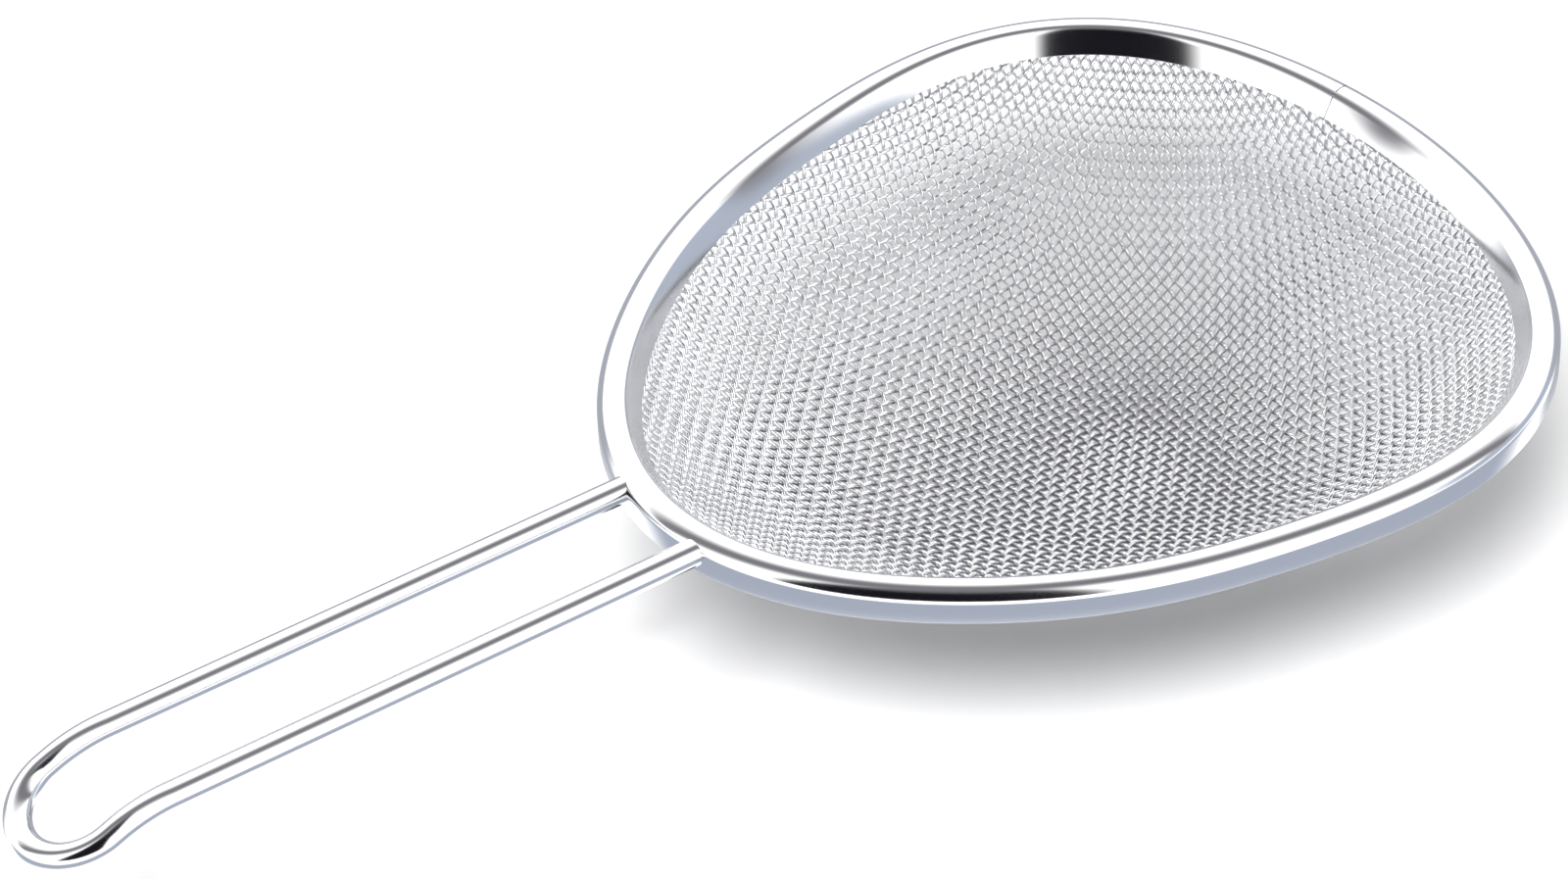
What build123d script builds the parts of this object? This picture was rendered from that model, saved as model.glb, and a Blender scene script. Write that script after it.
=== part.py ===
from build123d import *
import math
import os

# Tea strainer: a shallow woven-wire bowl in a folded sheet rim, with a two-rail handle bent
# from one wire.  Millimetres, +Z up, handle towards -X, rim level.  The origin is on the
# resting surface, under the middle of the whole strainer, and the bowl's bottom rests on it.
#
# Everything is drawn first in the rim's own frame, where the top of the rim's crown is z = 0
# and the crown's middle line goes round the origin, and is then moved by set_down().

# Outline of the rim: the crown's middle line seen from above, a mean radius with cosine swells.
# The third swell gives three soft corners, the pointed one of them at the handle.
MEAN_RADIUS = 40.0
SWELLS = {2: 0.062, 3: -0.0605, 4: -0.006, 5: -0.0055, 6: 0.007}
OUTLINE_POINTS = 48

# Section of the rim, a sheet strip folded over the edge of the cloth.  Places across the strip
# are measured outwards from the crown's middle line, depths down from the top of the crown.
SHEET = 0.4                 # thickness of the strip
OUTER_WALL = 1.55           # outer face of the upright outer wall
OUTER_DEPTH = 3.3           # its lower edge
OUTER_ROUND = 1.1           # shoulder between crown and outer wall
CROWN_INNER = -0.95         # where the crown turns down into the inner wall
INNER_FOOT = -2.45          # foot of the sloping inner wall
INNER_DEPTH = 2.3           # its lower edge
INNER_ROUND = 0.6           # shoulder between crown and inner wall
SEAM_ANGLE = 13.0           # where the two ends of the strip meet, degrees from +X
SEAM_GAP = 0.12

# Ring wire inside the fold.
CORE_DIAMETER = 1.2
CORE_PLACE = 0.45
CORE_DEPTH = 1.15

# Bowl of woven wire: a closed shell as thick as the cloth, two wires over each other.
CLOTH = 0.8
CLOTH_TOP = 1.1             # depth of the cloth's top edge, inside the fold
CLOTH_TOP_PLACE = -1.22     # its inner face there
CLOTH_FOOT = 2.75           # depth where the cloth leaves the fold
CLOTH_FOOT_PLACE = -2.3     # its inner face there
BOWL_DEPTH = 21.0           # from the cloth's foot down to the bottom, inside
BOWL_POWER = 2.7            # fullness of the bowl: 2 is a paraboloid
BOWL_CENTRE_X = 6.0         # deepest point, under the widest part of the outline
BOWL_LEVELS = (0.92, 0.82, 0.68, 0.52, 0.34)
BOTTOM_LEVEL = 0.12         # size of the small flat that closes the bottom

# Handle: one wire, two straight rails and a drooped round end.
WIRE = 2.5
RAIL_HALF_GAP = 5.25        # from the middle plane to each rail's axis
RAIL_DEPTH = 1.65           # rail axis below the crown where it meets the outer wall
RAIL_CLIMB = 2.4            # rise of the rails away from the rim, degrees
RAIL_END_PLACE = 1.25       # how far out from the crown's middle line the wire ends
DROOP_START_X = -98.4       # where the rails begin to bend down
DROOP_ANGLE = 23.5
DROOP_RADIUS = 13.4
TIP_STRAIGHT = 0.7          # between the droop and the round end
HOLE_CLEARANCE = 0.08       # round each wire where it passes the outer wall


def radius_at(angle):
    """Distance of the crown's middle line from the rim's centre, and its slope with angle."""
    radius = MEAN_RADIUS * (1 + sum(size * math.cos(n * angle) for n, size in SWELLS.items()))
    slope = -MEAN_RADIUS * sum(n * size * math.sin(n * angle) for n, size in SWELLS.items())
    return radius, slope


def along_at(angle):
    """Unit vector along the crown's middle line, anticlockwise from above."""
    radius, slope = radius_at(angle)
    return Vector(
        slope * math.cos(angle) - radius * math.sin(angle),
        slope * math.sin(angle) + radius * math.cos(angle),
    ).normalized()


def rim_point(angle, place=0.0, depth=0.0):
    """Point `place` outwards of the crown's middle line and `depth` below the crown."""
    radius, _ = radius_at(angle)
    along = along_at(angle)
    middle = Vector(radius * math.cos(angle), radius * math.sin(angle), -depth)
    return middle + Vector(along.Y, -along.X) * place


def around():
    """Evenly spaced angles once round the rim."""
    return [2 * math.pi * i / OUTLINE_POINTS for i in range(OUTLINE_POINTS)]


def section_plane(angle, place=0.0, depth=0.0):
    """Plane square across the rim: its X points outwards and its Y up."""
    along = along_at(angle)
    outwards = Vector(along.Y, -along.X)
    return Plane(rim_point(angle, place, depth), x_dir=outwards, z_dir=-along)


def strip_section():
    """Folded strip cut square across: outer wall, crown and sloping inner wall."""
    wall_run = CROWN_INNER - INNER_FOOT
    wall_length = math.hypot(wall_run, INNER_DEPTH)
    crown_step = SHEET * (wall_length - wall_run) / INNER_DEPTH
    foot_step = SHEET / wall_length
    inner_bend = (CROWN_INNER + crown_step, -SHEET)
    outer_bend = (OUTER_WALL - SHEET, -SHEET)
    outline = Polyline(
        (OUTER_WALL, -OUTER_DEPTH),
        (OUTER_WALL, 0),
        (CROWN_INNER, 0),
        (INNER_FOOT, -INNER_DEPTH),
        (INNER_FOOT + INNER_DEPTH * foot_step, -INNER_DEPTH - wall_run * foot_step),
        inner_bend,
        outer_bend,
        (OUTER_WALL - SHEET, -OUTER_DEPTH),
        close=True,
    )
    section = make_face(outline)
    bends = {
        (OUTER_WALL, 0): OUTER_ROUND,
        (CROWN_INNER, 0): INNER_ROUND,
        outer_bend: OUTER_ROUND - SHEET,
        inner_bend: INNER_ROUND - SHEET,
    }
    for corner, radius in bends.items():
        section = fillet(section.vertices().sort_by_distance((*corner, 0))[0], radius)
    return section


def rail_start():
    """Where the axis of the rail on the +Y side meets the inside of the outer wall."""
    angle = math.pi
    while rim_point(angle, RAIL_END_PLACE).Y < RAIL_HALF_GAP:
        angle -= math.radians(0.01)
    return rim_point(angle, RAIL_END_PLACE, RAIL_DEPTH)


def rail_direction():
    """Unit vector along the rails, away from the rim."""
    climb = math.radians(RAIL_CLIMB)
    return Vector(-math.cos(climb), 0, math.sin(climb))


def make_rim_band():
    """Folded strip round the whole rim, with its butt seam and the two holes for the handle."""
    path = Wire([Spline(*[rim_point(angle) for angle in around()], periodic=True)])
    band = sweep(section_plane(0) * strip_section(), path=path)
    band -= section_plane(math.radians(SEAM_ANGLE)) * Box(3 * OUTER_DEPTH, 3 * OUTER_DEPTH, SEAM_GAP)
    drill_length = 4 * SHEET + OUTER_WALL
    for side in (1, -1):
        start = rail_start()
        axis = Plane(Vector(start.X, side * start.Y, start.Z), z_dir=rail_direction())
        band -= axis * Cylinder(
            WIRE / 2 + HOLE_CLEARANCE, drill_length, align=(Align.CENTER, Align.CENTER, Align.MIN)
        )
    return band


def make_rim_core_wire():
    """Ring wire that the cloth and the strip are folded over."""
    points = [rim_point(angle, CORE_PLACE, CORE_DEPTH) for angle in around()]
    path = Wire([Spline(*points, periodic=True)])
    return sweep(section_plane(0, CORE_PLACE, CORE_DEPTH) * Circle(CORE_DIAMETER / 2), path=path)


def bowl_ring(level, outside):
    """Level ring of the cloth's inner or outer face: 1 is at the foot, 0 at the bottom."""
    centre = Vector(BOWL_CENTRE_X, 0)
    slope = math.atan(BOWL_DEPTH * BOWL_POWER * level ** (BOWL_POWER - 1) / MEAN_RADIUS)
    thickness = CLOTH if outside else 0
    depth = CLOTH_FOOT + BOWL_DEPTH * (1 - level**BOWL_POWER) + thickness * math.cos(slope)
    ring = []
    for angle in around():
        across = rim_point(angle, CLOTH_FOOT_PLACE) - centre
        spread = across.normalized() * (thickness * math.sin(slope))
        ring.append(centre + across * level + spread - Vector(0, 0, depth))
    return ring


def bowl_solid(outside):
    """Solid filling the bowl up to the cloth's top edge, to its inner or outer face."""
    fold_run = CLOTH_TOP_PLACE - CLOTH_FOOT_PLACE
    fold_drop = CLOTH_FOOT - CLOTH_TOP
    step = CLOTH * math.hypot(fold_run, fold_drop) / fold_drop if outside else 0
    rings = [[rim_point(angle, CLOTH_TOP_PLACE + step, CLOTH_TOP) for angle in around()]]
    for level in (1, *BOWL_LEVELS, BOTTOM_LEVEL):
        rings.append(bowl_ring(level, outside))
    return loft([Face(Wire([Spline(*ring, periodic=True)])) for ring in rings])


def make_mesh_basket():
    """Woven bowl as one closed shell."""
    return bowl_solid(outside=True) - bowl_solid(outside=False)


def make_handle_wire():
    """Handle bent from one wire: rail, droop, round end and back."""
    climb = math.radians(RAIL_CLIMB)
    droop = math.radians(DROOP_ANGLE)
    start = rail_start()
    outwards = rail_direction()
    run = (start.X - DROOP_START_X) / math.cos(climb)
    bend = start + outwards * run
    hub = bend - Vector(math.sin(climb), 0, math.cos(climb)) * DROOP_RADIUS

    def on_droop(turn):
        lean = climb - turn
        return hub + Vector(math.sin(lean), 0, math.cos(lean)) * DROOP_RADIUS

    final = climb - droop
    tip_direction = Vector(-math.cos(final), 0, math.sin(final))
    droop_end = on_droop(droop)
    tip_start = droop_end + tip_direction * TIP_STRAIGHT
    tip_top = tip_start + tip_direction * start.Y - Vector(0, start.Y, 0)

    def mirrored(point):
        return Vector(point.X, -point.Y, point.Z)

    path = Wire(
        [
            Line(start, bend),
            ThreePointArc(bend, on_droop(droop / 2), droop_end),
            Line(droop_end, tip_start),
            ThreePointArc(tip_start, tip_top, mirrored(tip_start)),
            Line(mirrored(tip_start), mirrored(droop_end)),
            ThreePointArc(mirrored(droop_end), mirrored(on_droop(droop / 2)), mirrored(bend)),
            Line(mirrored(bend), mirrored(start)),
        ]
    )
    return sweep(Plane(start, z_dir=outwards) * Circle(WIRE / 2), path=path)


def set_down(parts):
    """Move every part so that the whole stands on z = 0 with the origin under its middle."""
    box = Compound([part for part in parts.values()]).bounding_box()
    shift = Pos(-box.center().X, -box.center().Y, -box.min.Z)
    return {name: shift * part for name, part in parts.items()}


strainer = {
    "rim_band": make_rim_band(),
    "rim_core_wire": make_rim_core_wire(),
    "mesh_basket": make_mesh_basket(),
    "handle_wire": make_handle_wire(),
}
os.makedirs("parts", exist_ok=True)
for node, solid in set_down(strainer).items():
    export_step(solid, f"parts/{node}.step")
    print(node, solid.is_valid, round(solid.volume, 1), solid.bounding_box())
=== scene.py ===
import math

import bpy
import numpy as np
from mathutils import Matrix, Vector


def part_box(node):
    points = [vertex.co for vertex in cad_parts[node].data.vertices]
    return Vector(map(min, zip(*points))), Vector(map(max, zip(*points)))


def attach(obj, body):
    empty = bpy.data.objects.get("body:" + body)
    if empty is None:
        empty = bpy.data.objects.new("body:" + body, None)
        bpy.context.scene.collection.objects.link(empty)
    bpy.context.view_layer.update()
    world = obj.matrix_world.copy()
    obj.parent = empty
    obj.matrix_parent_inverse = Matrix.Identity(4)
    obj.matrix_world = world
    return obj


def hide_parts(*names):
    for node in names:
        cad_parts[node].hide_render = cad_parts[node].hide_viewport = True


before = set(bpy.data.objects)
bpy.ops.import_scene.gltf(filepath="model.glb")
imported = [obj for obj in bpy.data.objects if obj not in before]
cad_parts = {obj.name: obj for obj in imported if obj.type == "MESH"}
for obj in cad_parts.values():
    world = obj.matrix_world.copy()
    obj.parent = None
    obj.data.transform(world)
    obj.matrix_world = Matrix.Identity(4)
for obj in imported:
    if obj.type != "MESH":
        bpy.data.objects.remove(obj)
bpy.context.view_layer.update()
RIM_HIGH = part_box("rim_band")[1]
BOWL_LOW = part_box("mesh_basket")[0]
HANDLE_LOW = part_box("handle_wire")[0]

bl_info = {
    "name": "Tea Strainer",
    "version": (1, 0, 0),
    "blender": (4, 5, 0),
    "location": "View3D > Sidebar > Tea Strainer",
    "description": "Builds a woven-wire tea strainer with a folded rim and a two-rail handle",
    "category": "Object",
}

MM = 0.001

# Outline of the rim: the crown's middle line from above, a mean radius with cosine swells.
MEAN_RADIUS = 40.0 * MM
SWELLS = {2: 0.062, 3: -0.0605, 4: -0.006, 5: -0.0055, 6: 0.007}

# Rim strip: places are outwards of the crown's middle line, depths below the top of the crown.
OUTER_WALL = 1.55 * MM
OUTER_DEPTH = 3.3 * MM
CROWN_INNER = -0.95 * MM
INNER_FOOT = -2.45 * MM
INNER_DEPTH = 2.3 * MM
SHOULDER_ACROSS = 1.76 * MM     # half axes of the elliptical shoulder over the outer wall
SHOULDER_DROP = 1.40 * MM
INNER_BEND = 1.28 * MM
EDGE_ROUND = 0.05 * MM          # the strip's two sheared edges
SEAM_ANGLE = math.radians(13.0)

# Cloth: the inner face leaves the fold at the foot, and its top edge is inside the fold.
CLOTH = 0.8 * MM
CLOTH_FOOT = 2.75 * MM
CLOTH_FOOT_PLACE = -2.3 * MM
CLOTH_TOP = 1.1 * MM
CLOTH_TOP_PLACE = -1.22 * MM
BOWL_POWER = 2.7
BOWL_CENTRE_X = 6.0 * MM

# Handle: the rails' axes, and the droop and round end.
RAIL_HALF_GAP = 5.25 * MM
RAIL_DEPTH = 1.65 * MM
RAIL_CLIMB = math.radians(2.4)
RAIL_END_PLACE = 1.25 * MM
DROOP_START_X = -98.4 * MM
DROOP_ANGLE = math.radians(23.5)
DROOP_RADIUS = 13.4 * MM
TIP_STRAIGHT = 0.7 * MM


# ---------------------------------------------------------------- the outline of the rim

def outline_radius(angle):
    """Distance of the crown's middle line from the rim's centre, and its slope with angle."""
    radius = MEAN_RADIUS * (1 + sum(size * np.cos(n * angle) for n, size in SWELLS.items()))
    slope = -MEAN_RADIUS * sum(n * size * np.sin(n * angle) for n, size in SWELLS.items())
    return radius, slope


def outline(angle, place=0.0):
    """Level points `place` outwards of the middle line, and the outward directions there."""
    angle = np.asarray(angle, float)
    radius, slope = outline_radius(angle)
    along = np.stack(
        [
            slope * np.cos(angle) - radius * np.sin(angle),
            slope * np.sin(angle) + radius * np.cos(angle),
        ],
        axis=-1,
    )
    along /= np.linalg.norm(along, axis=-1, keepdims=True)
    outwards = np.stack([along[..., 1], -along[..., 0]], axis=-1)
    middle = np.stack([radius * np.cos(angle), radius * np.sin(angle)], axis=-1)
    return middle + outwards * place, outwards


CROWN_Z = RIM_HIGH.z
RIM_CENTRE_X = RIM_HIGH.x - float(outline(0.0, OUTER_WALL)[0][0])
BOWL_DEPTH = CROWN_Z - CLOTH_FOOT - (BOWL_LOW.z + CLOTH)


def in_frame(points):
    """Points drawn round the rim's centre with z = 0 at the crown, moved to the frame."""
    return np.asarray(points, float) + np.array([RIM_CENTRE_X, 0, CROWN_Z])


# ---------------------------------------------------------------- settings

class TeaStrainerCloth(bpy.types.PropertyGroup):
    """Sizes and colour of the woven bowl"""

    pitch: bpy.props.FloatProperty(
        name="Pitch", description="Distance between two wires, along the cloth",
        default=0.98 * MM, min=0.3 * MM, max=4 * MM, precision=5, unit="LENGTH",
    )
    wire: bpy.props.FloatProperty(
        name="Wire", description="Diameter of the drawn wire",
        default=0.4 * MM, min=0.05 * MM, max=1 * MM, precision=5, unit="LENGTH",
    )
    crimp: bpy.props.FloatProperty(
        name="Crimp", description="How far each wire rises and dips at a crossing",
        default=0.19 * MM, min=0.0, max=0.4 * MM, precision=5, unit="LENGTH",
    )
    colour: bpy.props.FloatVectorProperty(
        name="Wire Colour", description="Reflection colour of the drawn wire",
        default=(0.94, 0.94, 0.95), min=0.0, max=1.0, subtype="COLOR",
    )


class TeaStrainerSteel(bpy.types.PropertyGroup):
    """Sizes and colour of the rim and handle"""

    sheet: bpy.props.FloatProperty(
        name="Sheet", description="Thickness of the folded rim strip",
        default=0.4 * MM, min=0.1 * MM, max=1 * MM, precision=5, unit="LENGTH",
    )
    seam_gap: bpy.props.FloatProperty(
        name="Seam Gap", description="Opening between the two ends of the rim strip",
        default=0.12 * MM, min=0.0, max=1 * MM, precision=5, unit="LENGTH",
    )
    handle_wire: bpy.props.FloatProperty(
        name="Handle Wire", description="Diameter of the wire of the handle",
        default=2.5 * MM, min=1 * MM, max=5 * MM, precision=4, unit="LENGTH",
    )
    colour: bpy.props.FloatVectorProperty(
        name="Steel Colour", description="Reflection colour of the polished steel",
        default=(0.80, 0.80, 0.82), min=0.0, max=1.0, subtype="COLOR",
    )


class TeaStrainerStage(bpy.types.PropertyGroup):
    """Camera, floor and studio light"""

    azimuth: bpy.props.FloatProperty(
        name="Azimuth", description="Where the camera stands round the strainer",
        default=math.radians(-34.47), subtype="ANGLE",
    )
    elevation: bpy.props.FloatProperty(
        name="Elevation", description="How far the camera looks down",
        default=math.radians(40.45), subtype="ANGLE",
    )
    roll: bpy.props.FloatProperty(
        name="Roll", description="Lean of the camera, clockwise",
        default=math.radians(2.534), subtype="ANGLE",
    )
    distance: bpy.props.FloatProperty(
        name="Distance", description="From the camera to the point it looks at",
        default=0.5057, min=0.1, max=5.0, subtype="DISTANCE",
    )
    lens: bpy.props.FloatProperty(
        name="Lens", description="Focal length on a 36 mm sensor, in millimetres",
        default=132.46, min=20.0, max=400.0,
    )
    floor_colour: bpy.props.FloatVectorProperty(
        name="Floor Colour", description="Paint of the floor",
        default=(0.86, 0.86, 0.86), min=0.0, max=1.0, subtype="COLOR",
    )
    surround: bpy.props.FloatProperty(
        name="Surround", description="Brightness of the white tent round the strainer",
        default=2.0, min=0.0, max=10.0,
    )
    fill: bpy.props.FloatProperty(
        name="Fill", description="Share of the tent's light that falls on the floor",
        default=0.38, min=0.0, max=1.0, subtype="FACTOR",
    )
    key: bpy.props.FloatProperty(
        name="Key", description="Power of the soft box over the strainer",
        default=20.0, min=0.0, max=200.0, unit="POWER",
    )


# ---------------------------------------------------------------- materials

def new_material(name):
    """Empty node material with a Principled shader on its output."""
    material = bpy.data.materials.new(name)
    material.use_nodes = True
    nodes = material.node_tree.nodes
    return material, nodes, material.node_tree.links, nodes["Principled BSDF"]


def add_node(nodes, kind, values=(), **settings):
    """Node of that kind, with its settings and the defaults of its named inputs."""
    node = nodes.new(kind)
    for name, value in settings.items():
        setattr(node, name, value)
    for name, value in dict(values).items():
        node.inputs[name].default_value = value
    return node


def add_noise(nodes, links, vector, scale, stretch=(1, 1, 1), detail=3.0):
    """Noise on that vector, `scale` to the metre, with its axes stretched."""
    mapping = add_node(nodes, "ShaderNodeMapping", {"Scale": stretch})
    links.new(vector, mapping.inputs["Vector"])
    noise = add_node(nodes, "ShaderNodeTexNoise", {"Scale": scale, "Detail": detail})
    links.new(mapping.outputs["Vector"], noise.inputs["Vector"])
    return noise.outputs["Fac"]


def add_range(nodes, links, value, low, high):
    """The value, 0.3 to 0.7 as noise has it, spread from low to high."""
    node = add_node(
        nodes, "ShaderNodeMapRange",
        {"From Min": 0.3, "From Max": 0.7, "To Min": low, "To Max": high},
    )
    links.new(value, node.inputs["Value"])
    return node.outputs["Result"]


def add_tint(nodes, links, value, shader, colour, darker):
    """Base colour that wanders from the colour to a darker tone of it."""
    mix = add_node(nodes, "ShaderNodeMix", data_type="RGBA")
    links.new(value, mix.inputs["Factor"])
    mix.inputs["A"].default_value = (*colour, 1)
    mix.inputs["B"].default_value = (*[c * darker for c in colour], 1)
    links.new(mix.outputs["Result"], shader.inputs["Base Color"])


def add_bumps(nodes, links, shader, layers):
    """Bump nodes in a row, one for each (height, strength, distance)."""
    normal = None
    for height, strength, distance in layers:
        bump = add_node(nodes, "ShaderNodeBump", {"Strength": strength, "Distance": distance})
        links.new(height, bump.inputs["Height"])
        if normal:
            links.new(normal, bump.inputs["Normal"])
        normal = bump.outputs["Normal"]
    links.new(normal, shader.inputs["Normal"])


def polished_steel(colour):
    """Stainless steel polished to a mirror: slow dents, fine buffing lines and faint smears."""
    material, nodes, links, shader = new_material("polished_steel")
    place = nodes.new("ShaderNodeTexCoord").outputs["Object"]
    dents = add_noise(nodes, links, place, 170.0, detail=2.0)
    buffing = add_noise(nodes, links, place, 900.0, stretch=(1, 1, 14), detail=4.0)
    smears = add_noise(nodes, links, place, 60.0, stretch=(1, 2, 1), detail=5.0)
    add_tint(nodes, links, smears, shader, colour, 0.94)
    links.new(add_range(nodes, links, smears, 0.05, 0.13), shader.inputs["Roughness"])
    add_bumps(
        nodes, links, shader,
        [(dents, 0.35, 0.12 * MM), (buffing, 0.10, 0.02 * MM)],
    )
    shader.inputs["Metallic"].default_value = 1.0
    return material


def drawn_wire(colour):
    """Bright drawn wire: die lines along each wire, and wires that differ a little in tone."""
    material, nodes, links, shader = new_material("drawn_wire")
    along = add_node(nodes, "ShaderNodeAttribute", attribute_name="wire_place").outputs["Vector"]
    place = nodes.new("ShaderNodeTexCoord").outputs["Object"]
    die_lines = add_noise(nodes, links, along, 1.0, stretch=(500, 9, 7), detail=3.0)
    tarnish = add_noise(nodes, links, place, 220.0, detail=4.0)
    add_tint(nodes, links, tarnish, shader, colour, 0.86)
    links.new(add_range(nodes, links, die_lines, 0.06, 0.18), shader.inputs["Roughness"])
    add_bumps(nodes, links, shader, [(die_lines, 0.25, 0.01 * MM)])
    shader.inputs["Metallic"].default_value = 1.0
    return material


def matt_floor(colour):
    """Pale floor paint with a faint tooth."""
    material, nodes, links, shader = new_material("matt_floor")
    place = nodes.new("ShaderNodeTexCoord").outputs["Object"]
    tooth = add_noise(nodes, links, place, 40.0)
    add_tint(nodes, links, tooth, shader, colour, 0.99)
    add_bumps(nodes, links, shader, [(tooth, 0.05, 0.1 * MM)])
    shader.inputs["Roughness"].default_value = 0.8
    shader.inputs["Specular IOR Level"].default_value = 0.1
    return material


# ---------------------------------------------------------------- geometry trees

def new_tree(name, inputs):
    """Geometry tree with a mesh input, the named inputs (name, socket type, default) and an output."""
    tree = bpy.data.node_groups.new(name, "GeometryNodeTree")
    tree.interface.new_socket("Geometry", in_out="INPUT", socket_type="NodeSocketGeometry")
    for label, kind, default in inputs:
        socket = tree.interface.new_socket(label, in_out="INPUT", socket_type="NodeSocket" + kind)
        if default is not None:
            socket.default_value = default
    tree.interface.new_socket("Geometry", in_out="OUTPUT", socket_type="NodeSocketGeometry")
    given = tree.nodes.new("NodeGroupInput")
    return tree, given.outputs


def end_tree(tree, geometry, material):
    """Close a tree with smooth shading, Realize Instances and Set Material."""
    nodes, links = tree.nodes, tree.links
    smooth = nodes.new("GeometryNodeSetShadeSmooth")
    real = nodes.new("GeometryNodeRealizeInstances")
    painted = nodes.new("GeometryNodeSetMaterial")
    result = nodes.new("NodeGroupOutput")
    links.new(geometry, smooth.inputs["Geometry"])
    links.new(smooth.outputs["Geometry"], real.inputs["Geometry"])
    links.new(real.outputs["Geometry"], painted.inputs["Geometry"])
    links.new(material, painted.inputs["Material"])
    links.new(painted.outputs["Geometry"], result.inputs["Geometry"])


def named_attribute(tree, name, kind):
    """Output of a Named Attribute node."""
    node = add_node(tree.nodes, "GeometryNodeInputNamedAttribute", {"Name": name}, data_type=kind)
    return node.outputs["Attribute"]


def math_node(tree, operation, first, second):
    """Output of a Math node with each input a socket or a number."""
    node = add_node(tree.nodes, "ShaderNodeMath", operation=operation)
    for socket, value in zip(node.inputs, (first, second)):
        if isinstance(value, (int, float)):
            socket.default_value = value
        else:
            tree.links.new(value, socket)
    return node.outputs["Value"]


def store(tree, geometry, name, kind, value):
    """Geometry with a point attribute stored on it."""
    node = add_node(
        tree.nodes, "GeometryNodeStoreNamedAttribute", {"Name": name}, data_type=kind, domain="POINT"
    )
    tree.links.new(geometry, node.inputs["Geometry"])
    tree.links.new(value, node.inputs["Value"])
    return node.outputs["Geometry"]


def round_profile(tree, diameter, sides):
    """Circle section for a wire, with its own place round the wire stored on it."""
    radius = math_node(tree, "MULTIPLY", diameter, 0.5)
    circle = add_node(tree.nodes, "GeometryNodeCurvePrimitiveCircle", mode="RADIUS")
    tree.links.new(sides, circle.inputs["Resolution"])
    tree.links.new(radius, circle.inputs["Radius"])
    turn = tree.nodes.new("GeometryNodeSplineParameter").outputs["Factor"]
    return store(tree, circle.outputs["Curve"], "turn", "FLOAT", turn)


def wire_sweep(tree, path, profile):
    """Wire round a path, with wire_place (metres along, turns round, wire number) on its points."""
    nodes, links = tree.nodes, tree.links
    length = nodes.new("GeometryNodeSplineParameter").outputs["Length"]
    measured = store(tree, path, "run", "FLOAT", length)
    sweep = add_node(nodes, "GeometryNodeCurveToMesh", {"Fill Caps": True})
    links.new(measured, sweep.inputs["Curve"])
    links.new(profile, sweep.inputs["Profile Curve"])
    joined = nodes.new("ShaderNodeCombineXYZ")
    for socket, name in zip(joined.inputs, ("run", "turn", "number")):
        links.new(named_attribute(tree, name, "FLOAT"), socket)
    return store(tree, sweep.outputs["Mesh"], "wire_place", "FLOAT_VECTOR", joined.outputs["Vector"])


def weave_tree():
    """Wires of a plain weave from rows of crossings: each rises and dips by the crimp in turn."""
    tree, given = new_tree(
        "Weave Wires",
        [
            ("Wire", "Float", 0.4 * MM),
            ("Crimp", "Float", 0.19 * MM),
            ("Steps", "Int", 4),
            ("Sides", "Int", 6),
            ("Material", "Material", None),
        ],
    )
    nodes, links = tree.nodes, tree.links
    lift = add_node(nodes, "ShaderNodeVectorMath", operation="SCALE")
    links.new(named_attribute(tree, "cloth_normal", "FLOAT_VECTOR"), lift.inputs[0])
    over = named_attribute(tree, "over", "FLOAT")
    links.new(math_node(tree, "MULTIPLY", over, given["Crimp"]), lift.inputs["Scale"])
    crimped = nodes.new("GeometryNodeSetPosition")
    links.new(given["Geometry"], crimped.inputs["Geometry"])
    links.new(lift.outputs["Vector"], crimped.inputs["Offset"])
    curve = nodes.new("GeometryNodeMeshToCurve")
    links.new(crimped.outputs["Geometry"], curve.inputs["Mesh"])
    rounded = add_node(nodes, "GeometryNodeCurveSplineType", spline_type="CATMULL_ROM")
    links.new(curve.outputs["Curve"], rounded.inputs["Curve"])
    fine = nodes.new("GeometryNodeSetSplineResolution")
    links.new(rounded.outputs["Curve"], fine.inputs["Geometry"])
    links.new(given["Steps"], fine.inputs["Resolution"])
    profile = round_profile(tree, given["Wire"], given["Sides"])
    end_tree(tree, wire_sweep(tree, fine.outputs["Geometry"], profile), given["Material"])
    return tree


def handle_tree():
    """Round wire along the handle's path."""
    tree, given = new_tree(
        "Bent Wire",
        [("Wire", "Float", 2.5 * MM), ("Sides", "Int", 48), ("Material", "Material", None)],
    )
    curve = tree.nodes.new("GeometryNodeMeshToCurve")
    tree.links.new(given["Geometry"], curve.inputs["Mesh"])
    profile = round_profile(tree, given["Wire"], given["Sides"])
    end_tree(tree, wire_sweep(tree, curve.outputs["Curve"], profile), given["Material"])
    return tree


def strip_tree():
    """Folded strip: the section object swept along the outline, standing upright all the way."""
    tree, given = new_tree(
        "Folded Strip", [("Section", "Object", None), ("Material", "Material", None)]
    )
    nodes, links = tree.nodes, tree.links
    curve = nodes.new("GeometryNodeMeshToCurve")
    links.new(given["Geometry"], curve.inputs["Mesh"])
    upright = add_node(nodes, "GeometryNodeSetCurveNormal", mode="Z_UP")
    links.new(curve.outputs["Curve"], upright.inputs["Curve"])
    section = nodes.new("GeometryNodeObjectInfo")
    links.new(given["Section"], section.inputs["Object"])
    profile = nodes.new("GeometryNodeMeshToCurve")
    links.new(section.outputs["Geometry"], profile.inputs["Mesh"])
    sweep = add_node(nodes, "GeometryNodeCurveToMesh", {"Fill Caps": True})
    links.new(upright.outputs["Curve"], sweep.inputs["Curve"])
    links.new(profile.outputs["Curve"], sweep.inputs["Profile Curve"])
    end_tree(tree, sweep.outputs["Mesh"], given["Material"])
    return tree


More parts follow.
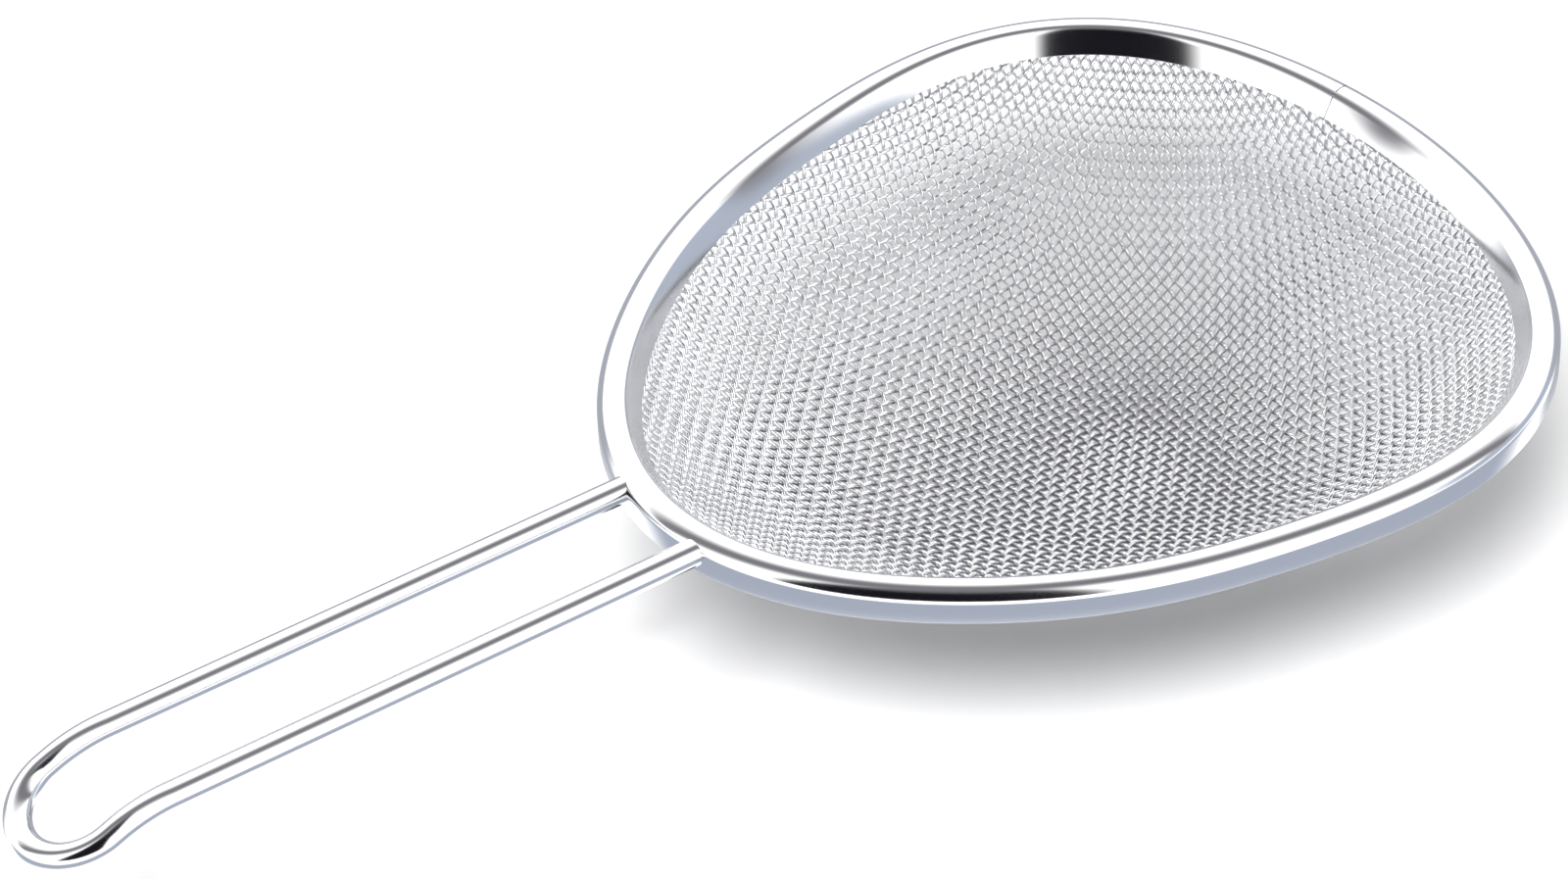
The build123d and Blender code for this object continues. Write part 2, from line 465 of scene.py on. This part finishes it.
def line_mesh(name, points, runs, cyclic=False):
    """Mesh of edges only: `runs` gives how many points in a row each line has."""
    edges, start = [], 0
    for count in runs:
        edges += [(start + i, start + i + 1) for i in range(count - 1)]
        if cyclic:
            edges.append((start + count - 1, start))
        start += count
    mesh = bpy.data.meshes.new(name)
    mesh.from_pydata([tuple(p) for p in points], edges, [])
    return mesh


def grown(name, seed_mesh, tree, values):
    """Plain mesh object that the tree makes from the seed mesh."""
    seed = bpy.data.objects.new(name + "_seed", seed_mesh)
    bpy.context.scene.collection.objects.link(seed)
    modifier = seed.modifiers.new("Build", "NODES")
    modifier.node_group = tree
    for item in tree.interface.items_tree:
        if item.in_out == "INPUT" and item.name in values:
            modifier[item.identifier] = values[item.name]
    depsgraph = bpy.context.evaluated_depsgraph_get()
    mesh = bpy.data.meshes.new_from_object(seed.evaluated_get(depsgraph))
    bpy.data.objects.remove(seed)
    if not mesh.polygons:
        raise RuntimeError(f"{name}: the tree made no faces")
    mesh.name = name
    piece = bpy.data.objects.new(name, mesh)
    bpy.context.scene.collection.objects.link(piece)
    return piece


# ---------------------------------------------------------------- woven bowl

OUTLINE_ANGLES = np.linspace(-math.pi, math.pi, 1441)


def foot_table():
    """Foot of the cloth seen from the bowl's centre: bearing, distance and squareness there."""
    points, outwards = outline(OUTLINE_ANGLES, CLOTH_FOOT_PLACE)
    across = points - np.array([BOWL_CENTRE_X, 0])
    distance = np.linalg.norm(across, axis=1)
    bearing = np.unwrap(np.arctan2(across[:, 1], across[:, 0]))
    squareness = np.sum(across * outwards, axis=1) / distance
    return bearing, distance, squareness


FOOT = foot_table()


def cloth_height(x, y):
    """Height of the cloth's inner face over a level point, and the level: 1 at the foot."""
    bearing, distance, squareness = FOOT
    across = np.hypot(x - BOWL_CENTRE_X, y)
    heading = np.arctan2(y, x - BOWL_CENTRE_X)
    foot = np.interp(heading, bearing, distance, period=2 * math.pi)
    square = np.interp(heading, bearing, squareness, period=2 * math.pi)
    level = across / foot
    bowl = CLOTH_FOOT + BOWL_DEPTH * (1 - np.minimum(level, 1) ** BOWL_POWER)
    fold_slope = (CLOTH_FOOT - CLOTH_TOP) / (CLOTH_TOP_PLACE - CLOTH_FOOT_PLACE)
    rise = np.maximum(across - foot, 0) * square * fold_slope
    return -(bowl - rise), level


def cloth_normal(x, y):
    """Upward unit normal of the cloth's inner face."""
    step = 0.05 * MM
    slope_x = (cloth_height(x + step, y)[0] - cloth_height(x - step, y)[0]) / (2 * step)
    slope_y = (cloth_height(x, y + step)[0] - cloth_height(x, y - step)[0]) / (2 * step)
    normal = np.stack([-slope_x, -slope_y, np.ones_like(slope_x)], axis=-1)
    return normal / np.linalg.norm(normal, axis=-1, keepdims=True)


def on_cloth(flat):
    """Points of the inner face over level points."""
    return np.concatenate([flat, cloth_height(flat[..., 0], flat[..., 1])[0][..., None]], axis=-1)


def step_along(start, direction, pitch):
    """Level point one pitch from start along the cloth, in a level direction."""
    reach = pitch
    for _ in range(12):
        span = np.linalg.norm(on_cloth(start + direction * reach) - on_cloth(start))
        reach *= pitch / span
    return start + direction * reach


def fourth_corner(beside, below, corner, pitch):
    """Level points one pitch along the cloth from two neighbours each, opposite the corner."""
    flat = beside + below - corner
    step = 0.002 * MM
    for _ in range(8):
        def gaps(points):
            lifted = on_cloth(points)
            return np.stack(
                [
                    np.linalg.norm(lifted - on_cloth(beside), axis=-1) - pitch,
                    np.linalg.norm(lifted - on_cloth(below), axis=-1) - pitch,
                ],
                axis=-1,
            )

        here = gaps(flat)
        slope_x = (gaps(flat + np.array([step, 0])) - here) / step
        slope_y = (gaps(flat + np.array([0, step])) - here) / step
        spread = slope_x[:, 0] * slope_y[:, 1] - slope_x[:, 1] * slope_y[:, 0]
        move_x = (here[:, 0] * slope_y[:, 1] - here[:, 1] * slope_y[:, 0]) / spread
        move_y = (slope_x[:, 0] * here[:, 1] - slope_x[:, 1] * here[:, 0]) / spread
        flat = flat - np.clip(np.stack([move_x, move_y], axis=-1), -pitch / 2, pitch / 2)
    return flat


def cloth_net(pitch):
    """Level places of the crossings of a cloth laid in the bowl, numbered from its centre."""
    reach = int(1.6 * MEAN_RADIUS / pitch)
    net = np.full((2 * reach + 1, 2 * reach + 1, 2), np.nan)
    centre = np.array([BOWL_CENTRE_X, 0.0])
    net[reach, reach] = centre
    for axis, sign in ((0, 1), (0, -1), (1, 1), (1, -1)):
        direction = np.eye(2)[axis] * sign
        place = centre
        for count in range(1, reach + 1):
            place = step_along(place, direction, pitch)
            if cloth_height(*place)[0] > 0:
                break
            index = [reach, reach]
            index[axis] += sign * count
            net[tuple(index)] = place
    for sign_x in (1, -1):
        for sign_y in (1, -1):
            march(net, reach, sign_x, sign_y, pitch)
    return net, reach


def march(net, reach, sign_x, sign_y, pitch):
    """Fill one quarter of the net, a diagonal at a time."""
    for total in range(2, 2 * reach):
        steps_x = np.arange(max(1, total - reach), min(total, reach + 1))
        steps_y = total - steps_x
        column = reach + sign_x * steps_x
        row = reach + sign_y * steps_y
        beside = net[column - sign_x, row]
        below = net[column, row - sign_y]
        corner = net[column - sign_x, row - sign_y]
        known = ~np.isnan(beside[:, 0] + below[:, 0] + corner[:, 0])
        if not known.any():
            continue
        found = fourth_corner(beside[known], below[known], corner[known], pitch)
        inside = cloth_height(found[:, 0], found[:, 1])[0] < 0
        net[column[known][inside], row[known][inside]] = found[inside]


def wire_rows(net, reach, along_x):
    """Numbers of the crossings along every wire, for crossings under the cloth's top edge."""
    fewest = 4
    height = cloth_height(net[..., 0], net[..., 1])[0]
    clear = 0.1 * MM
    kept = ~np.isnan(net[..., 0]) & (height < -CLOTH_TOP - clear)
    rows = []
    for number in range(2 * reach + 1):
        line = kept[:, number] if along_x else kept[number, :]
        found = np.flatnonzero(line)
        if len(found) < fewest:
            continue
        for run in np.split(found, np.flatnonzero(np.diff(found) > 1) + 1):
            if len(run) >= fewest:
                rows.append([(i, number) if along_x else (number, i) for i in run])
    return rows


def weave_seed(name, net, rows, along_x, half_cloth):
    """Edges along the wires through the crossings, with normal, over and number on the points."""
    index = np.array([pair for row in rows for pair in row])
    flat = net[index[:, 0], index[:, 1]]
    normal = cloth_normal(flat[:, 0], flat[:, 1])
    points = in_frame(on_cloth(flat) - normal * half_cloth)
    mesh = line_mesh(name, points, [len(row) for row in rows])
    over = 1.0 - 2.0 * ((index.sum(axis=1) + along_x) % 2)
    number = index[:, 1] if along_x else index[:, 0]
    mesh.attributes.new("cloth_normal", "FLOAT_VECTOR", "POINT").data.foreach_set(
        "vector", normal.astype(np.float32).ravel()
    )
    mesh.attributes.new("over", "FLOAT", "POINT").data.foreach_set("value", over.astype(np.float32))
    mesh.attributes.new("number", "FLOAT", "POINT").data.foreach_set(
        "value", number.astype(np.float32)
    )
    return mesh


class BuildWovenBowl(bpy.types.Operator):
    """Weave the bowl from wires one way and across, each in two halves"""

    bl_idname = "tea_strainer.woven_bowl"
    bl_label = "Woven Bowl"

    def execute(self, context):
        cloth = context.scene.tea_strainer_cloth
        net, reach = cloth_net(cloth.pitch)
        values = {
            "Wire": cloth.wire,
            "Crimp": cloth.crimp,
            "Steps": 4,
            "Sides": 6,
            "Material": drawn_wire(cloth.colour),
        }
        tree = weave_tree()
        for way, along_x in (("long", True), ("cross", False)):
            rows = wire_rows(net, reach, along_x)
            for half in (0, 1):
                name = f"mesh_{way}_wires_{half + 1}"
                side = [r for r in rows if (r[0][along_x] > reach) == bool(half)]
                seed = weave_seed(name, net, side, along_x, cloth.wire)
                piece = grown(name, seed, tree, values)
                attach(piece, "root")
                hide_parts("mesh_basket")
        return {"FINISHED"}


# ---------------------------------------------------------------- rim

def rounded_corners(corners, steps):
    """Outline through the corners (point, radius), with an arc of `steps` points at each."""
    points = []
    for i, (corner, radius) in enumerate(corners):
        corner = np.array(corner)
        before = np.array(corners[i - 1][0]) - corner
        after = np.array(corners[(i + 1) % len(corners)][0]) - corner
        if radius == 0:
            points.append(corner)
            continue
        before /= np.linalg.norm(before)
        after /= np.linalg.norm(after)
        half = math.acos(float(np.dot(before, after))) / 2
        middle = before + after
        hub = corner + middle / np.linalg.norm(middle) * (radius / math.sin(half))
        first = corner + before * (radius / math.tan(half)) - hub
        last = corner + after * (radius / math.tan(half)) - hub
        start = math.atan2(first[1], first[0])
        sweep = (math.atan2(last[1], last[0]) - start + math.pi) % (2 * math.pi) - math.pi
        for t in np.linspace(0, 1, steps):
            turn = start + sweep * t
            points.append(hub + radius * np.array([math.cos(turn), math.sin(turn)]))
    return points


def shoulder(inset):
    """Quarter ellipse from the outer wall up to the crown, as (place, height), `inset` inwards."""
    turns = np.linspace(0, math.pi / 2, 15)
    places = OUTER_WALL - SHOULDER_ACROSS + (SHOULDER_ACROSS - inset) * np.cos(turns)
    heights = -SHOULDER_DROP + (SHOULDER_DROP - inset) * np.sin(turns)
    return [((place, height), 0) for place, height in zip(places, heights)]


def strip_outline(sheet):
    """Section of the strip as (place, height): outer wall, crown with round shoulders, inner wall."""
    wall_run = CROWN_INNER - INNER_FOOT
    wall_length = math.hypot(wall_run, INNER_DEPTH)
    crown_step = sheet * (wall_length - wall_run) / INNER_DEPTH
    foot_step = sheet / wall_length
    inner_edge = (INNER_FOOT + INNER_DEPTH * foot_step, -INNER_DEPTH - wall_run * foot_step)
    corners = [
        ((OUTER_WALL, -OUTER_DEPTH), EDGE_ROUND),
        *shoulder(0.0),
        ((CROWN_INNER, 0.0), INNER_BEND),
        ((INNER_FOOT, -INNER_DEPTH), EDGE_ROUND),
        (inner_edge, EDGE_ROUND),
        ((CROWN_INNER + crown_step, -sheet), INNER_BEND - sheet),
        *reversed(shoulder(sheet)),
        ((OUTER_WALL - sheet, -OUTER_DEPTH), EDGE_ROUND),
    ]
    return rounded_corners(corners, 8)


class BuildRimBand(bpy.types.Operator):
    """Sweep the folded strip round the outline, from one side of its butt seam to the other"""

    bl_idname = "tea_strainer.rim_band"
    bl_label = "Rim Band"

    def execute(self, context):
        steel = context.scene.tea_strainer_steel
        # the sweep takes the section's Y downwards, and the order that makes faces point out
        section = reversed(strip_outline(steel.sheet))
        section_points = [(place, -height, 0) for place, height in section]
        section_mesh = line_mesh("strip_section", section_points, [len(section_points)], cyclic=True)
        section = bpy.data.objects.new("strip_section", section_mesh)
        context.scene.collection.objects.link(section)
        half_gap = steel.seam_gap / 2 / outline_radius(SEAM_ANGLE)[0]
        angles = np.linspace(SEAM_ANGLE + half_gap, SEAM_ANGLE + 2 * math.pi - half_gap, 481)
        level, _ = outline(angles)
        path = in_frame(np.column_stack([level, np.zeros(len(level))]))
        values = {"Section": section, "Material": bpy.data.materials["polished_steel"]}
        seed = line_mesh("rim_path", path, [len(path)])
        piece = grown("rim_strip", seed, strip_tree(), values)
        bpy.data.objects.remove(section)
        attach(piece, "root")
        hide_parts("rim_band")
        return {"FINISHED"}


class FinishRingWire(bpy.types.Operator):
    """Give the ring wire inside the fold its steel"""

    bl_idname = "tea_strainer.ring_wire"
    bl_label = "Ring Wire"

    def execute(self, context):
        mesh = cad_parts["rim_core_wire"].data
        mesh.materials.clear()
        mesh.materials.append(bpy.data.materials["polished_steel"])
        return {"FINISHED"}


# ---------------------------------------------------------------- handle

def rail_start():
    """Where the +Y rail's axis meets the outer wall, round the rim's centre."""
    angles = np.linspace(math.pi, math.pi * 0.9, 2000)
    points, _ = outline(angles, RAIL_END_PLACE)
    found = points[np.argmax(points[:, 1] >= RAIL_HALF_GAP)]
    return np.array([found[0], RAIL_HALF_GAP, -RAIL_DEPTH])


def handle_path():
    """Axis of the handle wire: rail, droop, round end and back."""
    start = rail_start()
    run = (start[0] - DROOP_START_X) / math.cos(RAIL_CLIMB)
    outwards = np.array([-math.cos(RAIL_CLIMB), 0, math.sin(RAIL_CLIMB)])
    bend = start + outwards * run
    hub = bend - np.array([math.sin(RAIL_CLIMB), 0, math.cos(RAIL_CLIMB)]) * DROOP_RADIUS
    side = [start + outwards * run * t for t in np.linspace(0, 1, 49)]
    for turn in np.linspace(0, DROOP_ANGLE, 25)[1:]:
        lean = RAIL_CLIMB - turn
        side.append(hub + np.array([math.sin(lean), 0, math.cos(lean)]) * DROOP_RADIUS)
    final = RAIL_CLIMB - DROOP_ANGLE
    forwards = np.array([-math.cos(final), 0, math.sin(final)])
    tip_hub = side[-1] + forwards * TIP_STRAIGHT - np.array([0, RAIL_HALF_GAP, 0])
    tip = []
    for turn in np.linspace(0, math.pi, 65):
        round_end = forwards * math.sin(turn) + np.array([0, math.cos(turn), 0])
        tip.append(tip_hub + round_end * RAIL_HALF_GAP)
    back = [point * np.array([1, -1, 1]) for point in reversed(side)]
    return in_frame(side + tip + back)


class BuildHandle(bpy.types.Operator):
    """Bend the handle from one round wire"""

    bl_idname = "tea_strainer.handle"
    bl_label = "Handle"

    def execute(self, context):
        steel = context.scene.tea_strainer_steel
        path = handle_path()
        seed = line_mesh("handle_path", path, [len(path)])
        seed.attributes.new("number", "FLOAT", "POINT")
        values = {
            "Wire": steel.handle_wire,
            "Sides": 48,
            "Material": bpy.data.materials["polished_steel"],
        }
        piece = grown("handle", seed, handle_tree(), values)
        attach(piece, "root")
        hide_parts("handle_wire")
        return {"FINISHED"}


# ---------------------------------------------------------------- stage

def direction_at(azimuth, elevation):
    """Unit vector from the strainer towards a place round it: azimuth 0 is -Y, 90 degrees is +X."""
    level = math.cos(elevation)
    return Vector((math.sin(azimuth) * level, -math.cos(azimuth) * level, math.sin(elevation)))


class Surround:
    """World that is painted by direction, one patch over another."""

    def __init__(self, stage):
        self.world = bpy.data.worlds.new("studio")
        self.world.use_nodes = True
        self.nodes, self.links = self.world.node_tree.nodes, self.world.node_tree.links
        looking = self.nodes.new("ShaderNodeTexCoord").outputs["Generated"]
        self.front = self.along(looking, direction_at(stage.azimuth, 0.0))
        self.right = self.along(looking, direction_at(stage.azimuth + math.pi / 2, 0.0))
        self.up = self.along(looking, Vector((0, 0, 1)))
        self.bearing = self.maths("ARCTAN2", self.right, self.front)
        self.lean = self.maths("DIVIDE", self.front, self.maths("MAXIMUM", self.up, 0.05))
        self.colour = None

    def along(self, looking, axis):
        """Share of the direction along an axis."""
        node = add_node(self.nodes, "ShaderNodeVectorMath", operation="DOT_PRODUCT")
        self.links.new(looking, node.inputs[0])
        node.inputs[1].default_value = axis
        return node.outputs["Value"]

    def maths(self, operation, first, second):
        """Output of a Math node with each input a socket or a number."""
        return math_node(self.world.node_tree, operation, first, second)

    def between(self, value, low, high, soft):
        """1 where the value is from low to high, with soft edges."""
        edges = []
        for start, end in ((low - soft, low + soft), (high + soft, high - soft)):
            node = add_node(
                self.nodes, "ShaderNodeMapRange", {"From Min": start, "From Max": end},
                interpolation_type="SMOOTHSTEP",
            )
            self.links.new(value, node.inputs["Value"])
            edges.append(node.outputs["Result"])
        return self.maths("MULTIPLY", *edges)

    def paint(self, colour, *masks):
        """Lay a colour over what is there, where all the masks are 1."""
        if self.colour is None:
            start = self.nodes.new("ShaderNodeRGB")
            start.outputs[0].default_value = (*colour, 1)
            self.colour = start.outputs[0]
            return
        mask = masks[0]
        for other in masks[1:]:
            mask = self.maths("MULTIPLY", mask, other)
        mix = add_node(self.nodes, "ShaderNodeMix", data_type="RGBA")
        self.links.new(mask, mix.inputs["Factor"])
        self.links.new(self.colour, mix.inputs["A"])
        mix.inputs["B"].default_value = (*colour, 1)
        self.colour = mix.outputs["Result"]

    def close(self, strength, dull_share):
        """The finished world, which lights dull surfaces with only a share of its strength."""
        background = self.nodes["Background"]
        self.links.new(self.colour, background.inputs["Color"])
        dull = self.nodes.new("ShaderNodeLightPath").outputs["Is Diffuse Ray"]
        dimmed = self.maths("MULTIPLY", dull, strength * (1 - dull_share))
        self.links.new(self.maths("SUBTRACT", strength, dimmed), background.inputs["Strength"])
        return self.world


def studio_world(stage):
    """White tent round a table, with an open front and a gap across its roof."""
    tent = Surround(stage)
    degree = math.radians(1)
    tent.paint((1, 1, 1))
    # the table, grey-blue in front of the strainer and white under and behind it
    below = tent.between(tent.up, -0.82, -0.28, 0.12)
    tent.paint((0.24, 0.265, 0.32), below, tent.between(tent.front, -0.32, 2, 0.2))
    # a low grey-blue screen at the right, and the dim far end of the tent
    screen = tent.between(tent.bearing, 62 * degree, 150 * degree, 12 * degree)
    tent.paint((0.27, 0.30, 0.36), screen, tent.between(tent.up, -0.20, 0.30, 0.08))
    far_end = tent.between(tent.front, -2, -0.5, 0.12)
    tent.paint((0.24, 0.25, 0.28), far_end, tent.between(tent.up, -0.7, 0.22, 0.08))
    # the open front, nearly black, most of it at the left
    opening = tent.between(tent.bearing, -46 * degree, 18 * degree, 5 * degree)
    tent.paint((0.004, 0.004, 0.006), opening, tent.between(tent.up, 0.16, 2, 0.05))
    # the gap across the roof, from left to right
    gap = tent.between(tent.lean, -0.44, 0.34, 0.30)
    tent.paint((0.12, 0.12, 0.13), gap, tent.between(tent.up, 0.2, 2, 0.1))
    return tent.close(stage.surround, stage.fill)


class BuildStage(bpy.types.Operator):
    """Set the floor, the studio tent and the camera"""

    bl_idname = "tea_strainer.stage"
    bl_label = "Stage"

    def execute(self, context):
        stage = context.scene.tea_strainer_stage
        self.add_floor(stage)
        self.add_shade()
        self.add_light(context.scene, stage)
        self.add_camera(context.scene, stage)
        return {"FINISHED"}

    def add_floor(self, stage):
        """Level floor, which polished steel reflects as the world's lower half instead."""
        half = 4.0
        mesh = bpy.data.meshes.new("floor")
        mesh.from_pydata(
            [(-half, -half, 0), (half, -half, 0), (half, half, 0), (-half, half, 0)], [], [(0, 1, 2, 3)]
        )
        mesh.materials.append(matt_floor(stage.floor_colour))
        floor = bpy.data.objects.new("floor", mesh)
        bpy.context.scene.collection.objects.link(floor)
        floor.visible_glossy = False

    def add_shade(self):
        """Painted shade: a dark glowing card under the bowl, just below the floor, that only
        reflections reach; it stands in for the shadowed floor under the bowl.
        """
        place = -6 * MM
        under_floor = 0.5 * MM
        points, _ = outline(np.linspace(0, 2 * math.pi, 97)[:-1], place)
        level = np.column_stack([points, np.full(len(points), -CROWN_Z - under_floor)])
        mesh = bpy.data.meshes.new("shade")
        mesh.from_pydata([tuple(p) for p in in_frame(level)], [], [tuple(range(len(level)))])
        material, nodes, links, _ = new_material("shade")
        # painted shade: the glow's colour is the floor in the bowl's shadow, as the wires reflect it
        painted_shade_glow = add_node(nodes, "ShaderNodeEmission", {"Color": (0.13, 0.14, 0.16, 1)})
        links.new(painted_shade_glow.outputs["Emission"], nodes["Material Output"].inputs["Surface"])
        mesh.materials.append(material)
        shade = bpy.data.objects.new("shade", mesh)
        bpy.context.scene.collection.objects.link(shade)

    def add_light(self, scene, stage):
        """Studio world, and a round soft box above and in front that reflections don't show."""
        scene.world = studio_world(stage)
        scene.view_settings.view_transform = "Standard"
        lamp = bpy.data.lights.new("soft_box", "AREA")
        lamp.shape = "DISK"
        lamp.size = 0.6
        lamp.energy = stage.key
        box = bpy.data.objects.new("soft_box", lamp)
        scene.collection.objects.link(box)
        towards = direction_at(stage.azimuth - math.radians(15), math.radians(57))
        reach = 1.2
        box.rotation_mode = "QUATERNION"
        box.rotation_quaternion = towards.to_track_quat("Z", "Y")
        box.location = Vector((RIM_CENTRE_X, 0.0, 0.0)) + towards * reach
        box.visible_glossy = False

    def add_camera(self, scene, stage):
        """Camera that looks at the middle of the strainer, a little towards the rim."""
        aim = Vector(((HANDLE_LOW.x + RIM_HIGH.x) / 2 + 2.6 * MM, 0.4 * MM, CROWN_Z))
        back = direction_at(stage.azimuth, stage.elevation)
        data = bpy.data.cameras.new("camera")
        data.sensor_width = 36.0
        data.lens = stage.lens
        data.clip_start, data.clip_end = 0.01, 20.0
        camera = bpy.data.objects.new("camera", data)
        scene.collection.objects.link(camera)
        turn = (-back).to_track_quat("-Z", "Y").to_matrix() @ Matrix.Rotation(-stage.roll, 3, "Z")
        camera.matrix_world = Matrix.Translation(aim + back * stage.distance) @ turn.to_4x4()
        scene.camera = camera


# ---------------------------------------------------------------- panel and registration

PIECES = (BuildWovenBowl, BuildRimBand, FinishRingWire, BuildHandle, BuildStage)


class TeaStrainerPanel(bpy.types.Panel):
    """Settings and buttons of the tea strainer"""

    bl_idname = "VIEW3D_PT_tea_strainer"
    bl_label = "Tea Strainer"
    bl_space_type = "VIEW_3D"
    bl_region_type = "UI"
    bl_category = "Tea Strainer"

    def draw(self, context):
        for group in ("cloth", "steel", "stage"):
            settings = getattr(context.scene, "tea_strainer_" + group)
            box = self.layout.box()
            for name in settings.__annotations__:
                box.prop(settings, name)
        for piece in PIECES:
            self.layout.operator(piece.bl_idname)


GROUPS = {"cloth": TeaStrainerCloth, "steel": TeaStrainerSteel, "stage": TeaStrainerStage}


def register():
    for group in (*GROUPS.values(), *PIECES, TeaStrainerPanel):
        bpy.utils.register_class(group)
    for name, group in GROUPS.items():
        setattr(bpy.types.Scene, "tea_strainer_" + name, bpy.props.PointerProperty(type=group))


def unregister():
    for name in GROUPS:
        delattr(bpy.types.Scene, "tea_strainer_" + name)
    for group in reversed((*GROUPS.values(), *PIECES, TeaStrainerPanel)):
        bpy.utils.unregister_class(group)


def main():
    register()
    # the rim, the ring wire and the handle share this material
    polished_steel(bpy.context.scene.tea_strainer_steel.colour)
    bpy.ops.tea_strainer.woven_bowl()
    bpy.ops.tea_strainer.rim_band()
    bpy.ops.tea_strainer.ring_wire()
    bpy.ops.tea_strainer.handle()
    bpy.ops.tea_strainer.stage()


if __name__ == "__main__":
    main()
